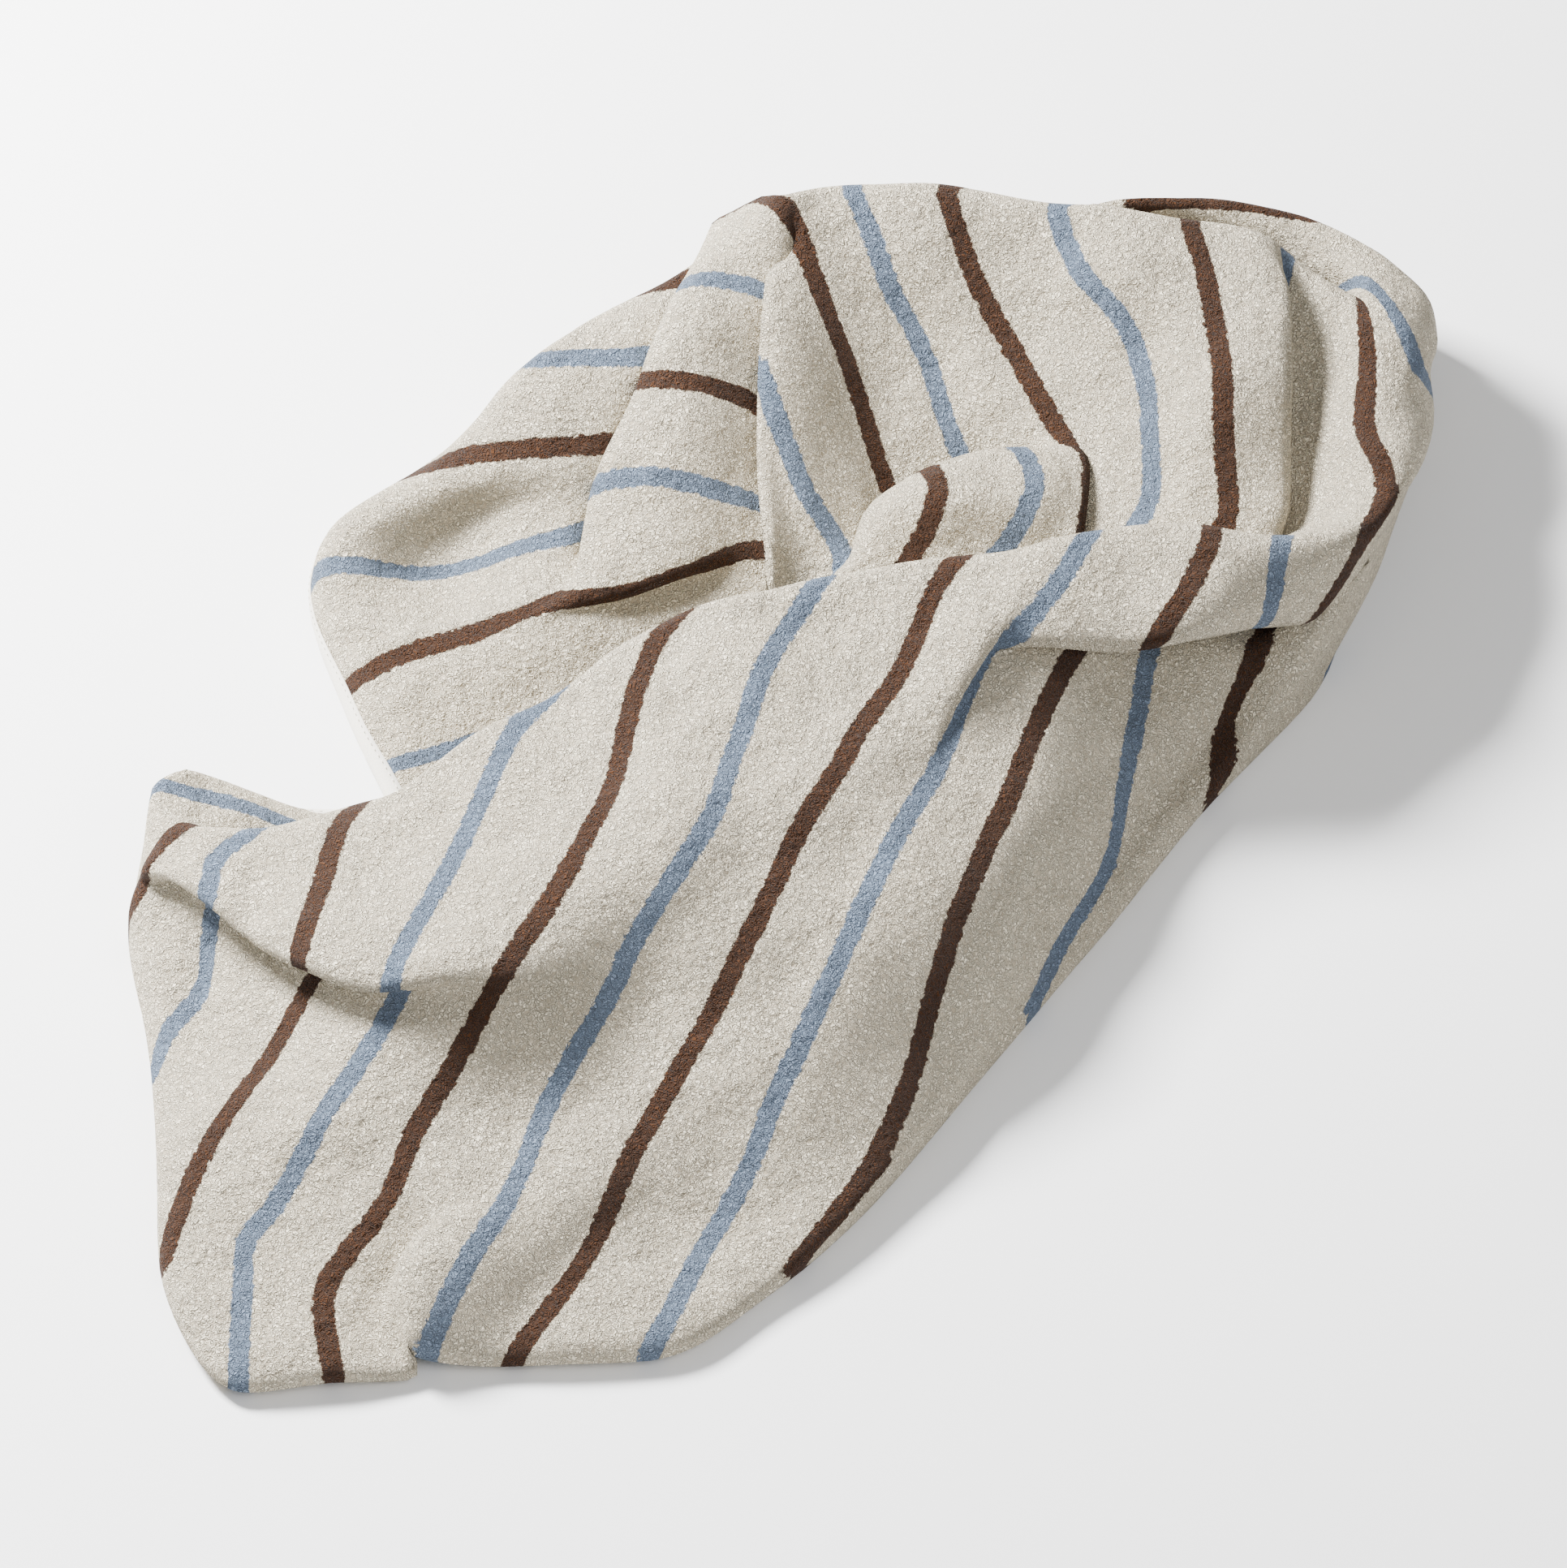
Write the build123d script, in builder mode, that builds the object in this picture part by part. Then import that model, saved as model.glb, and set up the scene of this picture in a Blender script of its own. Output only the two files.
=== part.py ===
from build123d import *
import os

# Hooded baby towel, dropped in a loose heap on a flat surface. Millimetres, +Z up.
# Origin: centre of the heap's footprint, on the surface. +X right, +Y away from the front.
# The heap is two long folds side by side: a front fold that leans forward, and a rear fold
# that stands behind it across a valley. The hood lies flat under the left half of the rear fold.
# The cloth is soft, so each piece is a plain closed solid of the shape that it takes up.

# Driving dimensions of the cloth
TERRY_THICKNESS = 6.0       # one layer of looped terry, lying loose
TAPE_WIDTH = 7.0            # folded edge tape, seen from above
TAPE_THICKNESS = 4.0        # edge tape with the hem inside it
LAYER_GAP = 0.5             # clear space kept between pieces that lie on each other
THREAD = 0.8                # sewing thread laid along the tape

# Driving dimensions of the heap
FRONT_TOE_HEIGHT = 9.0      # folded front edge of the cloth above the surface
FOOT_HEIGHT = 14.0          # cloth in the bottom of the valley, at the foot of the rear fold
CREST_HALF_WIDTH = 9.0      # half of the rounded top of the front fold
RIDGE_HALF_WIDTH = 8.0      # half of the rounded top of the rear fold
CREST_DROP = 3.0            # how much lower the crest's shoulders are than its top
BACK_LEAN = 12.0            # how far a fold's steep face leans out at the surface

# Heights that the folds take up along their length
TOP = 90.0                  # both folds near the middle of the heap
SHOULDER = 70.0             # where a fold starts to run down to its end
LOBE = 50.0                 # closed left end of the front fold
LOW = 30.0                  # open ends, next to the surface

# Front fold, from left to right: x, y of the toe, then y and height of the crest
FRONT_FOLD = [
    (-250, -60, -30, LOW),
    (-230, -200, -30, LOBE),
    (-200, -260, -30, LOBE),
    (-100, -250, 20, SHOULDER),
    (-30, -250, 50, TOP),
    (170, 30, 90, TOP),
    (200, 80, 110, SHOULDER),
    (240, 140, 160, LOW),
]

# Rear fold over the hood, from left to right: x, y of its foot in the valley, then y and
# height of the ridge
HOODED_FOLD = [
    (-180, 60, 110, LOW),
    (-150, 20, 130, LOW),
    (-120, 30, 170, LOBE),
    (-20, 80, 240, SHOULDER),
]

# The rest of the rear fold, which stands higher because its edge is folded over the left half
BARE_FOLD = [
    (-10, 80, 240, TOP),
    (30, 90, 260, TOP),
    (160, 110, 250, TOP),
    (200, 120, 250, SHOULDER),
    (240, 150, 230, LOBE),
    (250, 180, 210, LOW),
]

REAR_FOLD = HOODED_FOLD + BARE_FOLD

# Offset from the ridge to the back of the rear fold at the surface
RIDGE_TO_BACK = RIDGE_HALF_WIDTH + BACK_LEAN

# The hood is a flat layer, and the rear fold above it starts clear of its top
OVER_HOOD = TERRY_THICKNESS + LAYER_GAP

# The hood's open edge stops short of the right end of the stretch that covers it
HOOD_RIGHT = HOODED_FOLD[-1][0] - TAPE_WIDTH


def front_section(toe, crest, height):
    """Outline of the front fold: flat below, long slope up, rounded crest, steep back."""
    Polyline(
        (toe, 0),
        (toe - CREST_DROP, FRONT_TOE_HEIGHT * 0.5),
        (toe + FRONT_TOE_HEIGHT, FRONT_TOE_HEIGHT),
        (crest - CREST_HALF_WIDTH, height - CREST_DROP),
        (crest, height),
        (crest + CREST_HALF_WIDTH, height - CREST_DROP),
        (crest + BACK_LEAN, 0),
        close=True,
    )


def rear_section(foot, ridge, height, base):
    """Outline of the rear fold: low foot in the valley, slope up, rounded ridge, steep back."""
    Polyline(
        (foot - BACK_LEAN, base),
        (foot, FOOT_HEIGHT),
        (ridge - RIDGE_HALF_WIDTH, height - CREST_DROP),
        (ridge, height),
        (ridge + RIDGE_HALF_WIDTH, height - CREST_DROP),
        (ridge + RIDGE_TO_BACK, base),
        close=True,
    )


# Terry body: both folds are one piece of cloth, so they are one solid
with BuildPart() as towel_panel:
    for x, toe, crest, height in FRONT_FOLD:
        with BuildSketch(Plane.YZ.offset(x)):
            with BuildLine():
                front_section(toe, crest, height)
            make_face()
    loft(ruled=True)
    for x, foot, ridge, height in REAR_FOLD:
        base = OVER_HOOD if x <= HOODED_FOLD[-1][0] else 0
        with BuildSketch(Plane.YZ.offset(x)):
            with BuildLine():
                rear_section(foot, ridge, height, base)
            make_face()
    loft(ruled=True)


def hood_outline(right):
    """Plan of the hood: as far as the rear fold above it, and straight along its open edge."""
    front = [(x, foot) for x, foot, ridge, height in HOODED_FOLD if x < right]
    back = [(x, ridge) for x, foot, ridge, height in HOODED_FOLD if x < right]
    last_foot = HOODED_FOLD[-1][1]
    last_ridge = HOODED_FOLD[-1][2]
    Polyline(*front, (right, last_foot), (right, last_ridge), *reversed(back), close=True)


# Hood: a triangle of the same terry sewn over one corner, here turned under the rear fold
with BuildPart() as hood_panel:
    with BuildSketch(Plane.XY):
        with BuildLine():
            hood_outline(HOOD_RIGHT - TAPE_WIDTH - LAYER_GAP)
        make_face()
    extrude(amount=TERRY_THICKNESS)


# Ends of the hood's open edge, from the valley to the back of the rear fold
OPEN_EDGE_FRONT = HOODED_FOLD[-1][1]
OPEN_EDGE_BACK = HOODED_FOLD[-1][2]


# Tape folded over the hood's open edge
with BuildPart() as hood_binding:
    with BuildSketch(Plane.XY.offset(LAYER_GAP)):
        with BuildLine():
            Polyline(
                (HOOD_RIGHT - TAPE_WIDTH, OPEN_EDGE_FRONT),
                (HOOD_RIGHT, OPEN_EDGE_FRONT),
                (HOOD_RIGHT, OPEN_EDGE_BACK),
                (HOOD_RIGHT - TAPE_WIDTH, OPEN_EDGE_BACK),
                close=True,
            )
        make_face()
    extrude(amount=TAPE_THICKNESS)


# Sewing thread on top of the hood's tape
with BuildPart() as hood_stitching:
    with BuildSketch(Plane.XY.offset(TAPE_THICKNESS + LAYER_GAP * 2)):
        with BuildLine():
            Polyline(
                (HOOD_RIGHT - TAPE_WIDTH * 0.5, OPEN_EDGE_FRONT),
                (HOOD_RIGHT - TAPE_WIDTH * 0.5 + THREAD, OPEN_EDGE_FRONT),
                (HOOD_RIGHT - TAPE_WIDTH * 0.5 + THREAD, OPEN_EDGE_BACK),
                (HOOD_RIGHT - TAPE_WIDTH * 0.5, OPEN_EDGE_BACK),
                close=True,
            )
        make_face()
    extrude(amount=THREAD)


def back_line(distance):
    """Line round the left end and the back of the rear fold, a distance out from its foot."""
    left_x, left_foot, left_ridge, left_height = REAR_FOLD[0]
    points = [
        (left_x - distance, left_foot - BACK_LEAN),
        (left_x - distance, left_ridge + RIDGE_TO_BACK + distance),
    ]
    for x, foot, ridge, height in REAR_FOLD[1:]:
        points.append((x, ridge + RIDGE_TO_BACK + distance))
    return points


def tape_outline(inner, outer):
    """Closed outline of a strip between two distances out from the rear fold."""
    Polyline(*back_line(inner), *reversed(back_line(outer)), close=True)


# Tape folded over the outer edge of towel and hood, along the left end and the back
with BuildPart() as edge_binding:
    with BuildSketch(Plane.XY):
        with BuildLine():
            tape_outline(LAYER_GAP, LAYER_GAP + TAPE_WIDTH)
        make_face()
    extrude(amount=TAPE_THICKNESS)


# Sewing thread on top of the outer tape
with BuildPart() as edge_stitching:
    with BuildSketch(Plane.XY.offset(TAPE_THICKNESS + LAYER_GAP)):
        with BuildLine():
            tape_outline(TAPE_WIDTH * 0.5, TAPE_WIDTH * 0.5 + THREAD)
        make_face()
    extrude(amount=THREAD)


os.makedirs("parts", exist_ok=True)

towel_panel.part.label = "towel_panel"
export_step(towel_panel.part, "parts/towel_panel.step")

hood_panel.part.label = "hood_panel"
export_step(hood_panel.part, "parts/hood_panel.step")

hood_binding.part.label = "hood_binding"
export_step(hood_binding.part, "parts/hood_binding.step")

hood_stitching.part.label = "hood_stitching"
export_step(hood_stitching.part, "parts/hood_stitching.step")

edge_binding.part.label = "edge_binding"
export_step(edge_binding.part, "parts/edge_binding.step")

edge_stitching.part.label = "edge_stitching"
export_step(edge_stitching.part, "parts/edge_stitching.step")
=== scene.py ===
"""Hooded baby towel in striped terry, dropped in a loose heap: a front fold that leans forward,
a valley behind it, and a rear fold whose left part is turned over the hood."""
import math

import bpy
import numpy as np
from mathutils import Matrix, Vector, noise


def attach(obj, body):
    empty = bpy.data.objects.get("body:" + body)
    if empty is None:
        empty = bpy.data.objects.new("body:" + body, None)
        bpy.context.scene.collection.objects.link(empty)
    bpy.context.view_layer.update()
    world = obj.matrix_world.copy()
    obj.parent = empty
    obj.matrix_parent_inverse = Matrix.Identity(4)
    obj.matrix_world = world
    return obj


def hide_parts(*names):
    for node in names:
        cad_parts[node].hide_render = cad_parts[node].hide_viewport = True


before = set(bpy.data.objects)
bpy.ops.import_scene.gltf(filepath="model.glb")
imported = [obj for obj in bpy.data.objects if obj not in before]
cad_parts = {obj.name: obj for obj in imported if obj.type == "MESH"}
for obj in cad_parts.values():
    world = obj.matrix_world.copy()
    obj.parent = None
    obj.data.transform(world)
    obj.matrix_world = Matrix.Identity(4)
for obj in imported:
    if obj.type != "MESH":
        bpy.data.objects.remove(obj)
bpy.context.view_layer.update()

MM = 0.001

# The cloth, in millimetres. Stripes are numbered: even ones are brown and odd ones blue.
STRIPE_PITCH = 40
STRIPE_HALF_WIDTH = 4.0
LAYER = 3.5                 # one layer of terry, pressed by the ones on it
LOOP = 2.1                  # spacing of the cells that the terry loops are drawn from
FIRST_STRIPE = -2.5         # the cloth's left edge, counted in stripes
LAST_STRIPE = 16
HOOD_LEG = 260              # the hood is a triangle sewn along two edges of one corner

# Heights of the heap, in millimetres
FLAT = 4                    # middle of a layer lying on the floor
TOE = 7                     # where the front fold turns under
SHIN = 16                   # a little way up the front fold
CALF = 32                   # a third of the way up it
CREST = 82                  # top of the front fold
VALLEY = 12                 # floor of the valley, and cloth bunched under the folds
ROLL = 58                   # small roll lying in the valley
WALL = 58                   # halfway up the rear fold
RIDGE = 84                  # top of the rear fold
LOBE = 48                   # closed left end of the front fold
OVER_HOOD = 9               # rear hem, which lies on the hood

# Fold lines that cross the stripes, by their place along a stripe from front hem to rear hem.
# Each point is the stripe crossed, x to the right, y to the back, and the height.
FOLD_LINES = {
    # front hem, tucked back under the front fold
    0.0: [(-2.5, -155, -150, FLAT), (1, -130, -220, FLAT), (5, -80, -215, FLAT),
          (8, -90, -225, FLAT), (11, -150, -105, FLAT), (16, -120, 0, FLAT)],
    1.0: [(-2.5, -165, -95, FLAT), (0, -200, -140, FLAT), (3, -135, -220, FLAT),
          (7, -65, -230, FLAT), (9, -15, -150, FLAT), (11, 60, -10, FLAT), (16, 30, 65, FLAT)],
    # toe, where the front fold meets the floor and turns under
    2.0: [(-2.5, -185, -40, FLAT), (-1, -245, -30, TOE), (0, -250, -55, TOE), (1, -240, -120, TOE),
          (2, -235, -210, TOE), (3, -205, -265, TOE), (4, -170, -260, TOE), (4.5, -138, -256, FLAT),
          (4.75, -142, -250, 14), (5, -136, -252, 12), (6, -105, -252, TOE), (7, -55, -250, TOE),
          (8, 0, -210, TOE), (9, 90, -90, TOE), (10, 160, 15, TOE), (11, 206, 82, TOE),
          (12, 214, 140, FLAT), (16, 100, 130, FLAT)],
    3.0: [(0, -250, -50, 20), (1, -235, -105, SHIN), (2, -225, -175, SHIN), (3, -205, -205, SHIN),
          (4, -175, -225, SHIN), (4.4, -150, -228, TOE), (4.6, -150, -224, 20),
          (4.75, -145, -218, 30), (5, -120, -216, 28), (6, -75, -205, SHIN), (8, 30, -170, SHIN),
          (9, 100, -65, SHIN), (10, 165, 25, SHIN)],
    # bend where the cloth is drawn in above the pleat
    3.4: [(3, -195, -190, 22), (4, -150, -190, 26), (5, -107, -192, 30), (6, -64, -185, 24)],
    4.0: [(1, -220, -85, 22), (2, -210, -145, 24), (3, -180, -165, CALF), (5, -90, -155, CALF),
          (7, -5, -155, CALF), (8, 50, -125, CALF), (9, 115, -30, 24), (10, 165, 40, 20)],
    # knee, a crease where the upper part of the front fold hangs over the lower part
    4.9: [(0, -246, -44, 32), (0.5, -234, -46, 36), (1, -217, -58, 40), (2, -177, -93, 48),
          (3, -145, -112, 56), (4, -111, -121, 57), (5, -68, -112, 50)],
    5.1: [(0, -246, -46, 37), (0.5, -238, -52, 42), (1, -222, -68, 47), (2, -186, -104, 56),
          (3, -152, -120, 62), (4, -109, -119, 61), (5, -64, -104, 55)],
    # spare cloth from the right edge, bunched under the front fold
    5.5: [(11.5, 220, 138, TOE), (12.5, 120, 60, VALLEY), (14, -10, -50, VALLEY),
          (16, -50, -70, VALLEY)],
    6.0: [(0, -242, -42, 44), (1, -220, -55, 50), (2, -180, -70, 61), (3, -130, -65, 70),
          (5, -30, -45, 74), (7, 50, -30, 68), (8, 80, -30, 60), (9, 130, 20, 44),
          (10, 175, 60, 32)],
    # tuck below the right part of the crest
    7.0: [(7, 70, 25, 74), (8, 105, 40, 66), (9, 140, 60, 50), (10, 180, 70, 36)],
    7.5: [(7, 75, 35, 75), (8, 130, 65, 56), (9, 170, 90, 36), (10, 195, 95, 30)],
    8.0: [(7, 85, 40, 77), (8, 135, 40, 74), (9, 180, 60, 60), (10, 200, 75, 48)],
    # crest of the front fold, from the closed left end to the right end on the floor
    9.0: [(-2.5, -212, 8, TOE), (-2, -226, 6, 24), (-1.5, -230, 0, 46), (-1, -240, -10, LOBE),
          (0, -230, -35, 52), (1, -205, -40, 56), (2, -165, -30, 62), (3, -90, 15, 74),
          (4, -40, 45, 78), (5, 10, 60, CREST), (6, 65, 70, CREST), (7, 115, 80, CREST + 4),
          (8, 165, 85, CREST + 4), (9, 190, 85, CREST), (10, 220, 100, 62), (11, 242, 165, 30),
          (12, 244, 210, TOE)],
    9.5: [(-2, -205, 8, 14), (-1.5, -205, 2, 30), (-1, -198, -12, 36), (0, -210, -30, 34),
          (1, -180, -24, 30), (2, -145, -10, 40)],
    # floor of the valley
    10.0: [(-2.5, -150, 5, VALLEY), (0, -110, -30, VALLEY), (2, -70, -10, VALLEY), (4, -10, 70, 20),
           (6, 85, 95, 28), (8, 165, 110, 46), (9, 195, 110, 44)],
    # small roll in the valley, first its front and then its top
    10.5: [(3, 10, 100, 34), (4, 45, 105, 36), (5, 80, 105, 38), (6, 115, 110, 42)],
    11.0: [(3.5, 35, 120, 46), (4, 60, 130, ROLL), (5, 95, 130, ROLL), (6, 115, 130, 44)],
    11.3: [(3.5, 30, 130, 40), (4, 53, 145, 50), (5, 85, 152, 52), (6, 115, 150, 46)],
    # foot, middle and top of the rear fold's right wall
    12.0: [(-2.5, -60, 40, 7), (0, 0, 70, 10), (2, 0, 80, 12), (3, 20, 115, 30), (4, 45, 145, 20),
           (5, 75, 155, 20), (6, 105, 165, 42), (7, 140, 140, 46), (8, 170, 125, 50),
           (8.6, 192, 128, 46), (9, 184, 128, 32), (9.4, 198, 128, 38), (10, 230, 125, 60),
           (11, 250, 188, 38), (12, 248, 240, 26), (14, 195, 265, FLAT), (16, 140, 210, FLAT)],
    12.5: [(3, 5, 145, 52), (4, 20, 200, WALL), (5, 45, 215, 56), (6, 85, 200, 52),
           (7, 130, 205, WALL), (8, 165, 185, 66), (8.6, 196, 180, 64), (9, 184, 180, 42),
           (9.4, 198, 172, 44), (10, 222, 160, 60), (11, 245, 186, 55), (11.5, 254, 212, 46)],
    # free edge of the wall, a fold that lies over the part to its left
    13.0: [(2, -8, 88, 30), (3, -10, 180, 66), (3.5, -10, 220, 76), (4, 5, 230, 74),
           (6, 70, 230, 70), (8, 160, 220, 76), (8.6, 194, 214, 76), (9, 185, 208, 56),
           (9.4, 202, 202, 56), (10, 225, 185, 62), (11, 240, 198, 63), (11.5, 253, 222, 54)],
    # pleat hidden under that edge
    14.0: [(-2.5, -30, 60, 7), (0, 20, 100, 12), (2, 22, 130, 10), (3, 22, 185, 30),
           (3.5, 10, 210, 44), (4, 0, 240, 80)],
    # ridge on the right, and on the left the cloth coming out from under the wall's edge
    15.0: [(-2.5, -50, 50, 7), (-1, -20, 80, 12), (0, -10, 125, 30), (1, -10, 140, 38),
           (2, -10, 175, 52), (3, -10, 220, 68), (3.5, -10, 235, 78), (4, -5, 245, RIDGE),
           (5, 25, 255, RIDGE), (7, 105, 250, RIDGE), (8, 155, 245, RIDGE - 2),
           (8.6, 184, 238, RIDGE - 4), (9, 192, 236, 74), (10, 224, 212, 68), (11, 228, 222, 69),
           (11.5, 230, 243, 64), (12, 195, 262, 64), (14, 150, 275, 8), (16, 105, 215, FLAT)],
    # diagonal roll on the left part: its top, its edge, and the crease beside it
    16.0: [(0, -40, 105, 30), (1, -40, 140, 44), (2, -35, 175, 60), (3, -30, 220, 72),
           (4, -15, 258, 74)],
    17.0: [(0, -80, 95, 28), (1, -75, 140, 40), (2, -55, 180, 54), (3, -40, 220, 66),
           (4, -28, 258, 64)],
    17.3: [(0, -85, 95, 27), (1, -68, 145, 20), (2, -50, 180, 30), (3, -30, 220, 44),
           (4, -28, 240, 54)],
    17.6: [(0, -95, 90, 25), (1, -85, 125, 30), (2, -65, 160, 42), (3, -50, 195, 54),
           (4, -38, 235, WALL)],
    # spare cloth from the right edge, bunched under the rear fold
    18.0: [(12.5, 125, 265, 40), (13.5, 70, 200, 20), (16, 30, 110, VALLEY)],
    # dip beside the left end of the rear fold
    18.5: [(0.5, -132, 90, 18), (1, -140, 122, 14), (1.5, -126, 146, 28)],
    # top of the left part, where it drops to the floor behind
    19.0: [(-2.5, -140, 12, 8), (-1, -150, 28, 12), (0, -155, 70, 21), (1, -170, 110, 32),
           (2, -130, 160, 46), (3, -100, 195, 55), (4, -55, 230, 50), (5, 25, 265, 66),
           (8, 158, 252, 64), (9, 190, 245, 56), (10, 212, 232, 46), (11, 215, 240, 46),
           (12, 140, 268, 62), (14, 35, 270, 14), (16, 0, 205, FLAT)],
    20.0: [(-2.5, -148, 8, 9), (-1, -154, 27, 10), (0, -166, 66, 17), (1, -182, 112, 22),
           (3, -105, 200, 30), (5, 20, 262, 50), (8, 155, 255, 50), (10, 215, 228, 40),
           (12, 130, 268, 42), (14, 25, 265, 10), (16, -15, 205, FLAT)],
    # rear hem, which shows at the left and lies on the floor behind
    21.0: [(-2.5, -150, 8, OVER_HOOD), (-1, -157, 26, OVER_HOOD), (0, -172, 65, OVER_HOOD),
           (1, -184, 115, OVER_HOOD), (3, -100, 210, OVER_HOOD), (5, 15, 260, 10),
           (8, 155, 250, 10), (10, 205, 220, 10), (12, 125, 270, TOE), (14, 20, 265, TOE),
           (16, -25, 200, FLAT)],
}

# How finely the cloth is meshed, in millimetres, and how much its surface waves
ACROSS_STEP = 4
ALONG_STEP = 4.5
SMOOTHING_ROUNDS = 2
KEY_STEP = 0.25             # paths this many stripes apart are worked out, and the rest lie between
WAVES = [(90, 11), (40, 5)]  # size and amount of the cloth's soft unevenness
WAVE_DIRECTIONS = (0.5, 0.5, 1)
WAVE_FULL_HEIGHT = 30       # above this height the waves have their whole amount
WAVE_SEED = 3

# The toe, where each stripe turns under: its place along the stripe, the place of the turned
# part, how far that part lies behind the toe, and its height
TOE_STATION = 2.0
TURNED_STATION = 1.8
TURN_UNDER = 11
TURNED_HEIGHT = 3

# Places from hem to hem, and how many points each worked-out stripe has between them
LAST_STATION = 21
PATH_POINTS = 841
LEAST_STEP = 0.01           # keeps two points of a path apart
LEAST_GAP = 1e-6            # keeps two points of an edge apart
LEAST_LENGTH = 1e-9         # keeps a direction from being divided by nothing

# Limits of the correction that keeps a stripe's width where the mesh is pinched or pulled
LEAST_STRETCH = 0.6
MOST_STRETCH = 3

# Edge tape and sewing, in millimetres
TAPE_WIDTH = 5
TAPE_THICKNESS = 0.6
HEM_CLEARANCE = 0.1
TAPE_STEP = 4
EASING_ROUNDS = 4
STITCH_LENGTH = 2.4
STITCH_PITCH = 3.2
STITCH_RADIUS = 0.3
STITCH_SIDES = 6
STITCH_INSET = 1.5          # from the tape's inner edge to the stitching

# The hood under the body, in millimetres
HOOD_CLEARANCE = 2.5
HOOD_TIP = 8                # its point is cut off this far from the corner
HEM_ROWS = 8                # rows of the body's mesh that show which way its hem faces

# Camera and stage, in metres
ELEVATION = math.radians(52)
DISTANCE = 6.0
VIEW_WIDTH = 0.599          # seen across the picture at the point aimed at
AIM = Vector((-0.002, 0.0, 0.037))
SENSOR = 36                 # millimetres
FLOOR_REACH = 4
FLOOR_COLOUR = (0.93, 0.93, 0.93, 1)
WORLD_STRENGTH = 0.37

# Yarn colours, and the same yarns darkened by painted shade for the gaps between loops
CREAM = (0.85, 0.765, 0.59, 1)
CREAM_PAINTED_SHADE = (0.24, 0.195, 0.135, 1)
BROWN = (0.060, 0.020, 0.004, 1)
BROWN_PAINTED_SHADE = (0.016, 0.006, 0.002, 1)
BLUE = (0.165, 0.215, 0.300, 1)
BLUE_PAINTED_SHADE = (0.07, 0.095, 0.13, 1)
TAPE = (0.82, 0.79, 0.71, 1)
TAPE_SHADE = (0.62, 0.58, 0.50, 1)
THREAD = (0.86, 0.83, 0.75, 1)
THREAD_SHADE = (0.60, 0.56, 0.47, 1)

# The terry's loops. "Per loop" is a share of LOOP, and heights are shares of LOOP_DEPTH.
LOOP_DEPTH = 1.3            # millimetres
CURL = 1.35                 # how far the loops are pushed out of round, per loop
YARN_PLACE = 0.15           # from the gap between loops to the middle of the yarn, per loop
YARN_TOP = 0.03             # half of the yarn's rounded top, per loop
YARN_FOOT = 0.15            # half of the yarn's whole width, per loop
HIDDEN_PER_LOOP = 0.9       # places where the yarn is hidden among its neighbours
HIDDEN_RANGE = (0.36, 0.56)  # noise from wholly hidden to wholly seen
LEAST_SEEN = 0.3            # height left where the yarn is hidden
GAP_LIGHT = 0.3             # how much yarn colour shows through the painted shade of a gap
LOOP_VARIETY = 0.15         # how much one loop differs from the next
PATCH_DARKENING = 0.12                 # how far random tuft-sized patches are darkened towards the painted gap shade
PATCH_RANGE = (0.35, 0.65)   # noise from no darkening to the whole of it
TUFTS_PER_METRE = 350
TUFT_HEIGHT = 0.8
CREASES_PER_METRE = 60
CREASE_HEIGHT = 6
WANDERS_PER_METRE = 400     # bends of a stripe's edge
STRIPE_BLUR = 0.3           # millimetres to each side of a stripe's edge

# Settings that all the yarns share
SHEEN_ROUGHNESS = 0.6
SHINE = 0.2
LOOP_DISORDER = 0.9


def smooth_curve(places, values, wanted):
    """Cubic curve through the values that never swings beyond them."""
    places = np.asarray(places, float)
    values = np.asarray(values, float)
    flat = values.reshape(len(places), -1)
    gap = np.diff(places)[:, None]
    slope = np.diff(flat, axis=0) / gap
    tangent = np.zeros_like(flat)
    tangent[0] = slope[0]
    tangent[-1] = slope[-1]
    before, after = slope[:-1], slope[1:]
    weight_before = gap[:-1] + 2 * gap[1:]
    weight_after = 2 * gap[:-1] + gap[1:]
    same_way = before * after > 0
    safe_before = np.where(same_way, before, 1)
    safe_after = np.where(same_way, after, 1)
    mean = (weight_before + weight_after) / (weight_before / safe_before + weight_after / safe_after)
    tangent[1:-1] = np.where(same_way, mean, 0)
    piece = np.clip(np.searchsorted(places, wanted) - 1, 0, len(places) - 2)
    t = ((wanted - places[piece]) / gap[piece, 0])[:, None]
    reach = gap[piece]
    curve = (
        (2 * t**3 - 3 * t**2 + 1) * flat[piece]
        + (t**3 - 2 * t**2 + t) * reach * tangent[piece]
        + (3 * t**2 - 2 * t**3) * flat[piece + 1]
        + (t**3 - t**2) * reach * tangent[piece + 1]
    )
    return curve.reshape((len(wanted),) + values.shape[1:])


def stripe_path(stripe, stations):
    """The way one stripe runs over the heap, at the given places along it."""
    path = []
    for station, line in FOLD_LINES.items():
        line = np.array(line, float)
        if line[0, 0] <= stripe <= line[-1, 0]:
            point = smooth_curve(line[:, 0], line[:, 1:], np.array([stripe]))[0]
            path.append((station, point))
    places = [station for station, point in path]
    points = np.array([point for station, point in path])
    toe = places.index(TOE_STATION)
    inward = (points[toe + 1] - points[toe]) * (1, 1, 0)
    turned = points[toe] + inward / max(np.linalg.norm(inward), 1) * TURN_UNDER
    turned[2] = TURNED_HEIGHT
    places.insert(toe, TURNED_STATION)
    points = np.insert(points, toe, turned, axis=0)
    steps = np.linalg.norm(np.diff(points, axis=0), axis=1) + LEAST_STEP
    run = np.append(0, np.cumsum(steps))
    run_at_stations = smooth_curve(places, run[:, None], stations)[:, 0]
    return smooth_curve(run, points, run_at_stations)


def lengths_along(points):
    """Distance along each row of points from its first point."""
    steps = np.linalg.norm(np.diff(points, axis=1), axis=2)
    return np.concatenate([np.zeros((len(points), 1)), np.cumsum(steps, axis=1)], axis=1)


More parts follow.
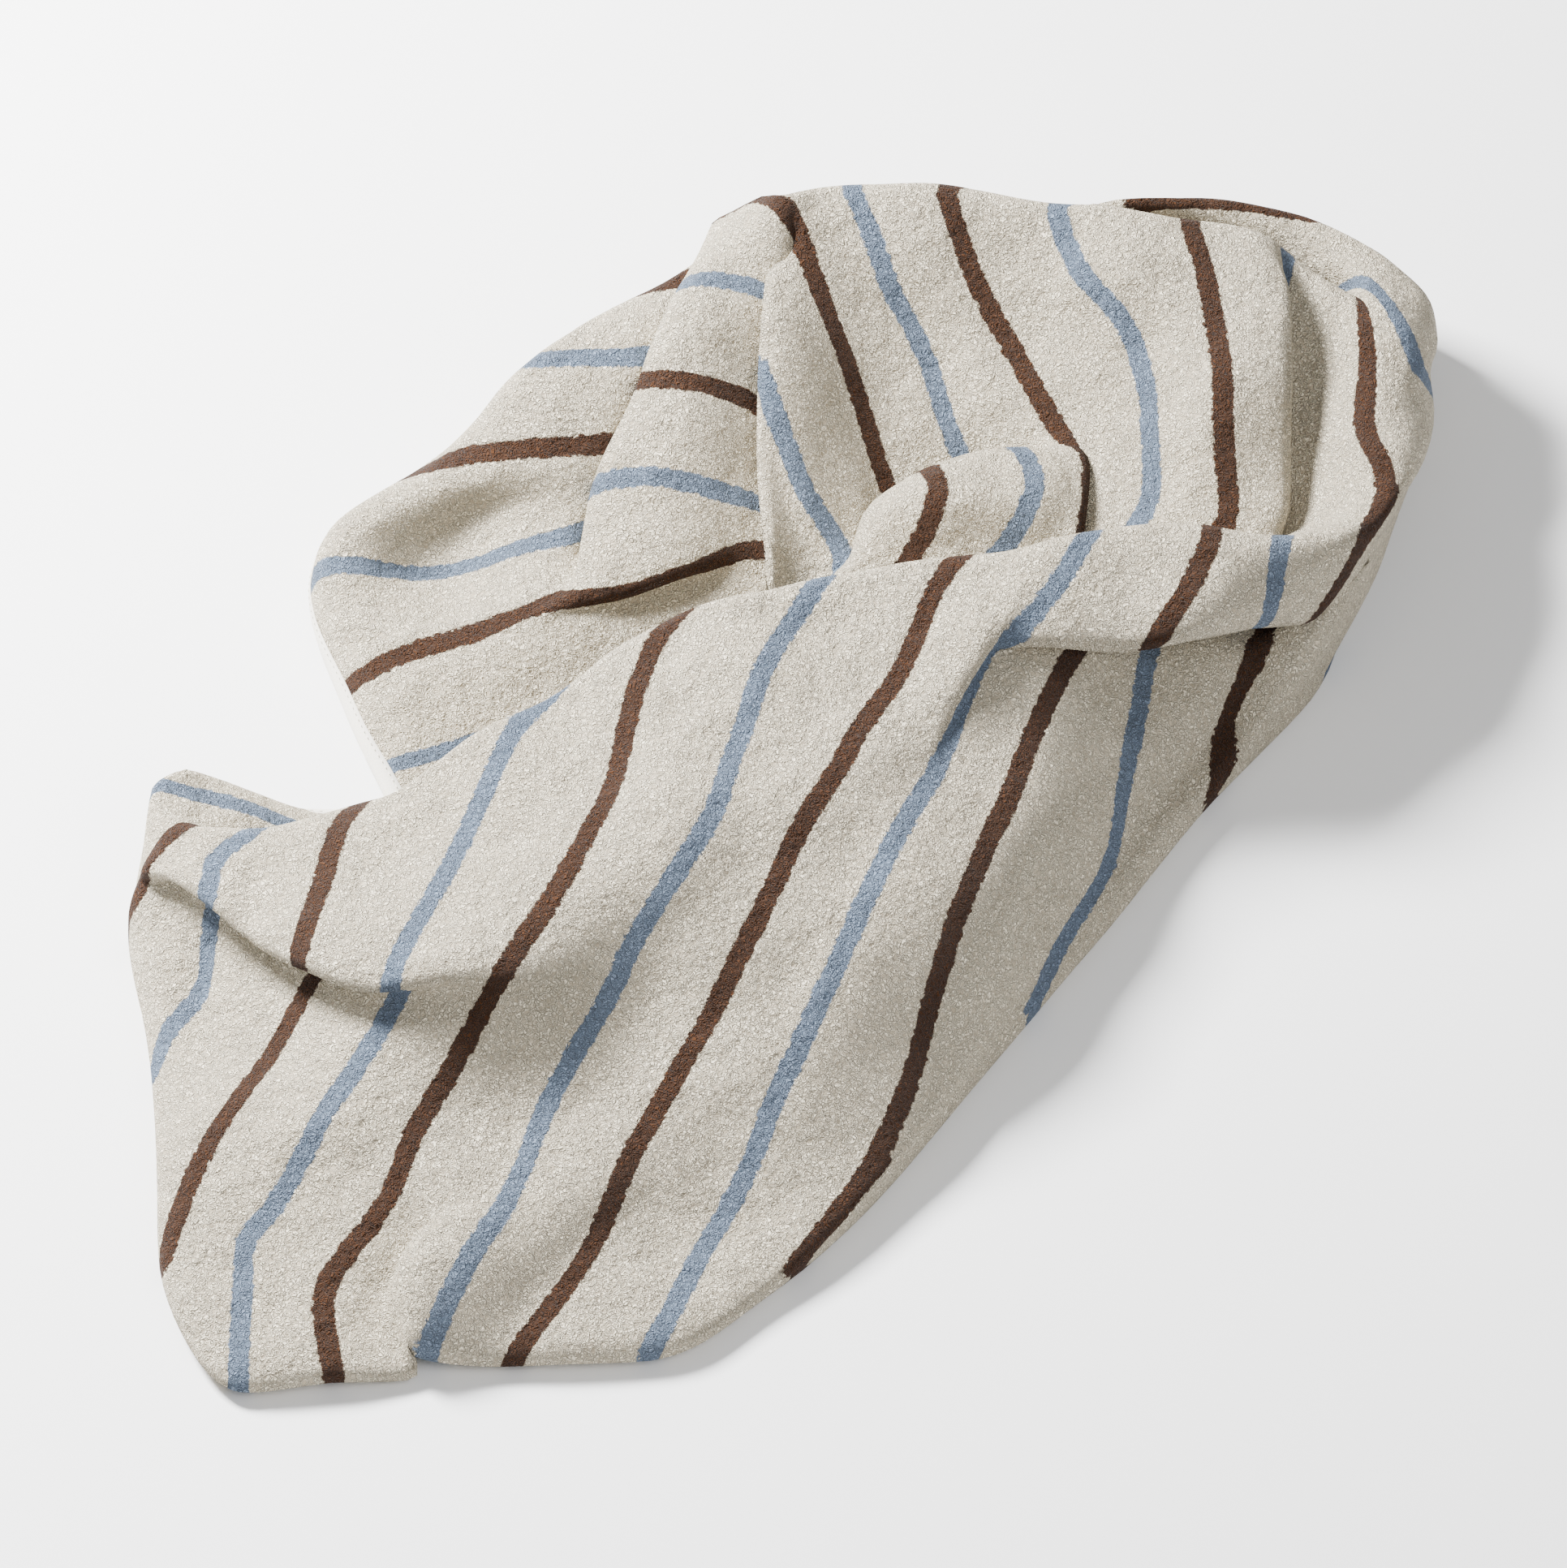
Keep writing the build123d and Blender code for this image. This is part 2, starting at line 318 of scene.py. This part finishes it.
def cloth_surface():
    """Stripe numbers, and the grid of points of the whole cloth over them."""
    key_stripes = np.arange(FIRST_STRIPE, LAST_STRIPE + KEY_STEP / 2, KEY_STEP)
    stations = np.linspace(0, LAST_STATION, PATH_POINTS)
    paths = np.array([stripe_path(stripe, stations) for stripe in key_stripes])
    count = round((LAST_STRIPE - FIRST_STRIPE) * STRIPE_PITCH / ACROSS_STEP) + 1
    stripes = np.linspace(FIRST_STRIPE, LAST_STRIPE, count)
    fine = smooth_curve(key_stripes, paths, stripes)
    mean_run = lengths_along(fine).mean(axis=0)
    even = np.linspace(0, mean_run[-1], round(mean_run[-1] / ALONG_STEP))
    grid = np.array([
        np.stack([np.interp(even, mean_run, row[:, axis]) for axis in range(3)], axis=1)
        for row in fine
    ])
    return stripes, grid


def smoothed(grid):
    """The grid with each point drawn towards its four neighbours."""
    for _ in range(SMOOTHING_ROUNDS):
        wide = np.pad(grid, ((1, 1), (1, 1), (0, 0)), mode="edge")
        around = wide[2:, 1:-1] + wide[:-2, 1:-1] + wide[1:-1, 2:] + wide[1:-1, :-2]
        grid = grid / 2 + around / 8
    return grid


def unit(vectors):
    return vectors / np.maximum(np.linalg.norm(vectors, axis=-1, keepdims=True), LEAST_LENGTH)


def surface_normals(grid):
    return unit(np.cross(np.gradient(grid, axis=0), np.gradient(grid, axis=1)))


def waved(grid):
    """The grid with the soft unevenness of thick cloth, and nothing below the floor."""
    noise.seed_set(WAVE_SEED)
    rise = np.clip(grid[..., 2:] / WAVE_FULL_HEIGHT, 0, 1)
    for size, amount in WAVES:
        shift = [noise.noise_vector(Vector(point / size)) for point in grid.reshape(-1, 3)]
        grid = grid + np.reshape(shift, grid.shape) * WAVE_DIRECTIONS * rise * amount
    grid[..., 2] = np.maximum(grid[..., 2], LAYER / 2 + HEM_CLEARANCE)
    return grid


def stripe_distance(stripes, grid):
    """Distance on the surface from each point to the middle of the nearest stripe."""
    along = unit(np.gradient(grid, axis=1))
    across = np.gradient(grid, stripes * STRIPE_PITCH, axis=0)
    across -= (across * along).sum(axis=2, keepdims=True) * along
    stretch = np.clip(np.linalg.norm(across, axis=2), LEAST_STRETCH, MOST_STRETCH)
    return np.abs(stripes - np.round(stripes))[:, None] * STRIPE_PITCH * stretch


def grid_faces(rows, columns):
    index = np.arange(rows * columns).reshape(rows, columns)
    corners = [index[:-1, :-1], index[1:, :-1], index[1:, 1:], index[:-1, 1:]]
    return np.stack(corners, axis=-1).reshape(-1, 4)


def make_piece(name, points, faces, material):
    """A mesh piece from points in millimetres, riding on the towel's only body."""
    mesh = bpy.data.meshes.new(name)
    mesh.from_pydata((np.reshape(points, (-1, 3)) * MM).tolist(), [], [list(face) for face in faces])
    mesh.materials.append(material)
    mesh.shade_smooth()
    piece = bpy.data.objects.new(name, mesh)
    bpy.context.scene.collection.objects.link(piece)
    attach(piece, "root")
    return piece


def add_cloth_data(piece, stripes, grid):
    """Stores which kind of stripe each point is near, and how far it is from its middle."""
    columns = grid.shape[1]
    distance = stripe_distance(stripes, grid).astype(np.float32)
    brown = np.repeat(np.round(stripes) % 2 == 0, columns).astype(np.float32)
    attributes = piece.data.attributes
    attributes.new("stripe_distance", "FLOAT", "POINT").data.foreach_set("value", distance.ravel())
    attributes.new("brown_stripe", "FLOAT", "POINT").data.foreach_set("value", brown)


def thicken(piece):
    solid = piece.modifiers.new("cloth thickness", "SOLIDIFY")
    solid.thickness = LAYER * MM
    solid.offset = 0


def tape_profile():
    """Section of tape folded round an edge, as distances inward and upward."""
    inner = LAYER / 2 + HEM_CLEARANCE
    outer = inner + TAPE_THICKNESS
    turn = np.radians([90, 45, 0, -45, -90])
    outside = [(-outer * math.cos(angle), outer * math.sin(angle)) for angle in turn]
    inside = [(-inner * math.cos(angle), inner * math.sin(angle)) for angle in turn[::-1]]
    ends = [(TAPE_WIDTH, -outer), (TAPE_WIDTH, -inner)]
    return [(TAPE_WIDTH, outer)] + outside + ends + inside + [(TAPE_WIDTH, inner)]


def eased(directions):
    """Directions along an edge, each averaged with its neighbours so that none turns sharply."""
    for _ in range(EASING_ROUNDS):
        wide = np.pad(directions, ((1, 1), (0, 0)), mode="edge")
        directions = unit(wide[:-2] + 2 * wide[1:-1] + wide[2:])
    return directions


def even_line(line, inward, up, step, closed):
    """An edge line and its two directions, taken again at even steps."""
    if closed:
        line, inward, up = (np.concatenate([part, part[:1]]) for part in (line, inward, up))
    run = np.append(0, np.cumsum(np.linalg.norm(np.diff(line, axis=0), axis=1) + LEAST_GAP))
    places = np.linspace(0, run[-1], round(run[-1] / step) + 1)
    if closed:
        places = places[:-1]
    line, inward, up = (
        np.stack([np.interp(places, run, part[:, axis]) for axis in range(3)], axis=1)
        for part in (line, inward, up)
    )
    return line, eased(inward), eased(up)


def make_tape(name, line, inward, up, closed, material):
    line, inward, up = even_line(line, inward, up, TAPE_STEP, closed)
    profile = tape_profile()
    points = np.stack([line + inward * a + up * b for a, b in profile], axis=1)
    points[..., 2] = np.maximum(points[..., 2], HEM_CLEARANCE)
    count, corners = len(line), len(profile)
    faces = []
    for row in range(count if closed else count - 1):
        below = (row + 1) % count
        for corner in range(corners):
            beside = (corner + 1) % corners
            faces.append([
                row * corners + corner, row * corners + beside,
                below * corners + beside, below * corners + corner,
            ])
    if not closed:
        last = (count - 1) * corners
        faces.append(list(range(corners - 1, -1, -1)))
        faces.append(list(range(last, last + corners)))
    return make_piece(name, points, faces, material)


def make_stitches(name, line, inward, up, closed, material):
    """A row of short stitches on each face of the tape, as spindles of thread."""
    line, inward, up = even_line(line, inward, up, STITCH_PITCH, closed)
    height = LAYER / 2 + HEM_CLEARANCE + TAPE_THICKNESS + STITCH_RADIUS / 2
    along = unit(np.gradient(line, axis=0))
    turn = np.radians(np.arange(STITCH_SIDES) * 360 / STITCH_SIDES)
    points = []
    faces = []
    for face in (1, -1):
        middles = line + inward * (TAPE_WIDTH - STITCH_INSET) + up * height * face
        middles[:, 2] = np.maximum(middles[:, 2], STITCH_RADIUS + HEM_CLEARANCE)
        for middle, direction, side, lift in zip(middles, along, inward, up):
            start = len(points)
            points.append(middle - direction * STITCH_LENGTH / 2)
            for angle in turn:
                outward = side * math.cos(angle) + lift * math.sin(angle)
                points.append(middle + outward * STITCH_RADIUS)
            points.append(middle + direction * STITCH_LENGTH / 2)
            tip = start + 1 + STITCH_SIDES
            for corner in range(STITCH_SIDES):
                here = start + 1 + corner
                beside = start + 1 + (corner + 1) % STITCH_SIDES
                faces.append([start, beside, here])
                faces.append([tip, here, beside])
    return make_piece(name, points, faces, material)


class Shader:
    """A material's nodes, with the few kinds used here made in one call each."""

    def __init__(self, slot, roughness, sheen):
        self.material = bpy.data.materials.new(slot)
        self.material["slot"] = slot
        self.material.use_nodes = True
        self.tree = self.material.node_tree
        self.surface = self.tree.nodes["Principled BSDF"]
        self.surface.inputs["Roughness"].default_value = roughness
        self.surface.inputs["Sheen Weight"].default_value = sheen
        self.surface.inputs["Sheen Roughness"].default_value = SHEEN_ROUGHNESS
        self.surface.inputs["Specular IOR Level"].default_value = SHINE

    def feed(self, socket, value):
        if isinstance(value, bpy.types.NodeSocket):
            self.tree.links.new(value, socket)
        else:
            socket.default_value = value

    def attribute(self, name, output="Fac"):
        node = self.tree.nodes.new("ShaderNodeAttribute")
        node.attribute_name = name
        return node.outputs[output]

    def math(self, operation, first, second):
        node = self.tree.nodes.new("ShaderNodeMath")
        node.operation = operation
        self.feed(node.inputs[0], first)
        self.feed(node.inputs[1], second)
        return node.outputs[0]

    def spread(self, value, low, high, to_low, to_high):
        node = self.tree.nodes.new("ShaderNodeMapRange")
        for socket, setting in zip(node.inputs, (value, low, high, to_low, to_high)):
            self.feed(socket, setting)
        return node.outputs[0]

    def mix(self, share, first, second):
        node = self.tree.nodes.new("ShaderNodeMix")
        node.data_type = "RGBA"
        self.feed(node.inputs["Factor"], share)
        self.feed(node.inputs["A"], first)
        self.feed(node.inputs["B"], second)
        return node.outputs["Result"]

    def noise(self, vector, scale, detail=3):
        node = self.tree.nodes.new("ShaderNodeTexNoise")
        self.feed(node.inputs["Vector"], vector)
        node.inputs["Scale"].default_value = scale
        node.inputs["Detail"].default_value = detail
        return node.outputs["Fac"]

    def curled(self, vector, scale, amount):
        """The coordinates pushed about by noise, which bends round cells into short curls."""
        noise_node = self.tree.nodes.new("ShaderNodeTexNoise")
        self.feed(noise_node.inputs["Vector"], vector)
        noise_node.inputs["Scale"].default_value = scale
        noise_node.inputs["Detail"].default_value = 1
        push = self.tree.nodes.new("ShaderNodeVectorMath")
        push.operation = "MULTIPLY_ADD"
        self.feed(push.inputs[0], noise_node.outputs["Color"])
        self.feed(push.inputs[1], (amount, amount, amount))
        self.feed(push.inputs[2], vector)
        return push.outputs[0]

    def loops(self, vector, scale, feature, output):
        node = self.tree.nodes.new("ShaderNodeTexVoronoi")
        node.feature = feature
        self.feed(node.inputs["Vector"], vector)
        node.inputs["Scale"].default_value = scale
        node.inputs["Randomness"].default_value = LOOP_DISORDER
        return node.outputs[output]

    def bump(self, height, strength, depth):
        node = self.tree.nodes.new("ShaderNodeBump")
        node.inputs["Strength"].default_value = strength
        node.inputs["Distance"].default_value = depth * MM
        self.feed(node.inputs["Height"], height)
        return node.outputs["Normal"]


def terry(slot):
    """Looped terry: pale curls of yarn over gaps darkened with painted shade, and stripes ragged by
    whole loops.
    """
    shader = Shader(slot, roughness=0.95, sheen=0.04)
    place = shader.tree.nodes.new("ShaderNodeTexCoord").outputs["Object"]
    loops_per_metre = 1 / (LOOP * MM)
    curls = shader.curled(place, scale=loops_per_metre, amount=CURL * LOOP * MM)

    # The yarn of each loop, with part of it hidden among the others
    from_gap = shader.loops(curls, loops_per_metre, "DISTANCE_TO_EDGE", "Distance")
    off_yarn = shader.math("ABSOLUTE", shader.math("SUBTRACT", from_gap, YARN_PLACE), 0)
    yarn_top = shader.spread(off_yarn, YARN_TOP, YARN_FOOT, 1.0, 0.0)
    hiding = shader.noise(place, HIDDEN_PER_LOOP * loops_per_metre, detail=1)
    seen = shader.spread(hiding, *HIDDEN_RANGE, LEAST_SEEN, 1.0)
    height = shader.math("MULTIPLY", yarn_top, seen)
    tufts = shader.noise(place, TUFTS_PER_METRE)

    # Which stripe the yarn belongs to, whole loops at a time
    loop_chance = shader.loops(curls, loops_per_metre, "F1", "Color")
    ragged = shader.math("MULTIPLY", shader.math("SUBTRACT", loop_chance, 0.5), LOOP / 2)
    wander = shader.math("SUBTRACT", shader.noise(place, WANDERS_PER_METRE), 0.5)
    wander = shader.math("MULTIPLY", wander, LOOP)
    reach = shader.math("ADD", shader.math("ADD", shader.attribute("stripe_distance"), ragged), wander)
    inner, outer = STRIPE_HALF_WIDTH - STRIPE_BLUR, STRIPE_HALF_WIDTH + STRIPE_BLUR
    stripe = shader.spread(reach, inner, outer, 1.0, 0.0)
    brown = shader.attribute("brown_stripe")

    # Colour: yarn where the loops stand up, painted shade in the gaps and on the lower and hidden
    # parts of the yarn, and random patches darkened towards that painted shade
    yarn = shader.mix(stripe, CREAM, shader.mix(brown, BLUE, BROWN))
    # the gap colours are painted shade: the same yarns as above, made darker
    gap = shader.mix(stripe, CREAM_PAINTED_SHADE, shader.mix(brown, BLUE_PAINTED_SHADE, BROWN_PAINTED_SHADE))
    dulled = shader.math("MULTIPLY", loop_chance, LOOP_VARIETY)
    # lower and hidden yarn gets more of the painted gap shade
    shown = shader.math("SUBTRACT", shader.math("ADD", height, GAP_LIGHT), dulled)
    colour = shader.mix(shown, gap, yarn)
    # random tuft-sized patches are darkened towards the painted gap shade
    patch_darkened = shader.mix(shader.spread(tufts, *PATCH_RANGE, 0.0, PATCH_DARKENING), colour, gap)
    shader.feed(shader.surface.inputs["Base Color"], patch_darkened)

    # Relief: loops, tufts of them and the small creases of the cloth
    relief = shader.math("ADD", height, shader.math("MULTIPLY", tufts, TUFT_HEIGHT))
    creases = shader.noise(place, CREASES_PER_METRE, detail=2)
    relief = shader.math("ADD", relief, shader.math("MULTIPLY", creases, CREASE_HEIGHT))
    shader.feed(shader.surface.inputs["Normal"], shader.bump(relief, strength=1.0, depth=LOOP_DEPTH))
    return shader.material


def woven_cotton(slot, pale, dark, thread):
    """Smooth woven tape or twisted thread, with fine crossed ribs."""
    shader = Shader(slot, roughness=0.8, sheen=0.15)
    coordinates = shader.tree.nodes.new("ShaderNodeTexCoord").outputs["Object"]
    grain = shader.noise(coordinates, 1 / (thread * MM), detail=2)
    shader.feed(shader.surface.inputs["Base Color"], shader.mix(grain, dark, pale))
    shader.feed(shader.surface.inputs["Normal"], shader.bump(grain, strength=0.5, depth=thread / 3))
    return shader.material


def border(part):
    """The outline of a grid of values, once round."""
    return np.concatenate([part[0, :-1], part[:-1, -1], part[-1, :0:-1], part[:0:-1, 0]])


def one_in(part):
    """The points one step in from the border, in the border's order."""
    return np.concatenate([part[1, :-1], part[:-1, -2], part[-2, :0:-1], part[:0:-1, 1]])


def hood_surface(stripes, grid, normals):
    """Stripe numbers and points of the hood, one layer below the body's rear left corner."""
    inside = stripes <= FIRST_STRIPE + (HOOD_LEG - HOOD_TIP) / STRIPE_PITCH
    rows = []
    for path, normal, stripe in zip(grid[inside], normals[inside], stripes[inside]):
        face = np.sign(normal[-HEM_ROWS:, 2].mean() or 1)
        below = path - unit(normal) * (LAYER + HOOD_CLEARANCE) * face
        back = below[::-1]
        run = np.append(0, np.cumsum(np.linalg.norm(np.diff(back, axis=0), axis=1)))
        depth = HOOD_LEG - (stripe - FIRST_STRIPE) * STRIPE_PITCH
        places = np.linspace(0, depth, round(HOOD_LEG / ALONG_STEP))
        row = [np.interp(places, run, back[:, axis]) for axis in range(3)]
        rows.append(np.stack(row, axis=1))
    points = np.array(rows)
    points[..., 2] = np.maximum(points[..., 2], LAYER / 2 + HEM_CLEARANCE)
    return stripes[inside], points


def make_floor():
    mesh = bpy.data.meshes.new("floor")
    corners = [(FLOOR_REACH * x, FLOOR_REACH * y, 0) for x, y in [(-1, -1), (1, -1), (1, 1), (-1, 1)]]
    mesh.from_pydata(corners, [], [(0, 1, 2, 3)])
    material = bpy.data.materials.new("floor")
    material.use_nodes = True
    surface = material.node_tree.nodes["Principled BSDF"]
    surface.inputs["Base Color"].default_value = FLOOR_COLOUR
    mesh.materials.append(material)
    floor = bpy.data.objects.new("floor", mesh)
    bpy.context.scene.collection.objects.link(floor)


def make_light(name, place, size, power):
    light = bpy.data.lights.new(name, "AREA")
    light.size = size
    light.energy = power
    lamp = bpy.data.objects.new(name, light)
    bpy.context.scene.collection.objects.link(lamp)
    lamp.location = place
    lamp.rotation_euler = (-Vector(place)).to_track_quat("-Z", "Y").to_euler()


def make_camera():
    lens = bpy.data.cameras.new("camera")
    lens.sensor_width = SENSOR
    lens.lens = SENSOR * DISTANCE / VIEW_WIDTH
    camera = bpy.data.objects.new("camera", lens)
    bpy.context.scene.collection.objects.link(camera)
    back = Vector((0, -math.cos(ELEVATION), math.sin(ELEVATION)))
    camera.location = AIM + back * DISTANCE
    camera.rotation_euler = (math.pi / 2 - ELEVATION, 0, 0)
    bpy.context.scene.camera = camera


def make_world():
    world = bpy.data.worlds.new("studio")
    world.use_nodes = True
    background = world.node_tree.nodes["Background"]
    background.inputs["Color"].default_value = (1, 1, 1, 1)
    background.inputs["Strength"].default_value = WORLD_STRENGTH
    bpy.context.scene.world = world


# Materials
body_terry = terry("body_terry")
hood_terry = terry("hood_terry")
binding_tape = woven_cotton("binding_tape", TAPE, TAPE_SHADE, thread=0.5)
sewing_thread = woven_cotton("sewing_thread", THREAD, THREAD_SHADE, thread=0.25)

# Towel body
stripes, grid = cloth_surface()
grid = waved(smoothed(grid))
normals = surface_normals(grid)
body = make_piece("towel_body", grid, grid_faces(*grid.shape[:2]), body_terry)
add_cloth_data(body, stripes, grid)
thicken(body)
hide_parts("towel_panel")

# Tape and stitching round the whole edge
edge = border(grid)
edge_in = unit(one_in(grid) - edge)
edge_up = border(normals)
edge_tape = make_tape("edge_tape", edge, edge_in, edge_up, True, binding_tape)
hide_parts("edge_binding")
edge_stitches = make_stitches("edge_stitches", edge, edge_in, edge_up, True, sewing_thread)
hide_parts("edge_stitching")

# Hood, and the tape and stitching along its open edge
hood_stripes, hood_points = hood_surface(stripes, grid, normals)
hood = make_piece("hood", hood_points, grid_faces(*hood_points.shape[:2]), hood_terry)
add_cloth_data(hood, hood_stripes, hood_points)
thicken(hood)
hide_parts("hood_panel")

hood_edge = hood_points[:, -1]
hood_in = unit(hood_points[:, -2] - hood_edge)
hood_up = surface_normals(hood_points)[:, -1]
hood_tape = make_tape("hood_tape", hood_edge, hood_in, hood_up, False, binding_tape)
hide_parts("hood_binding")
hood_stitches = make_stitches("hood_stitches", hood_edge, hood_in, hood_up, False, sewing_thread)
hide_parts("hood_stitching")

# Floor, light and camera
make_floor()
make_light("window", (-1.0, 0.7, 1.1), size=0.5, power=175)
make_light("fill", (0.8, -1.0, 1.4), size=1.2, power=20)
make_camera()
make_world()
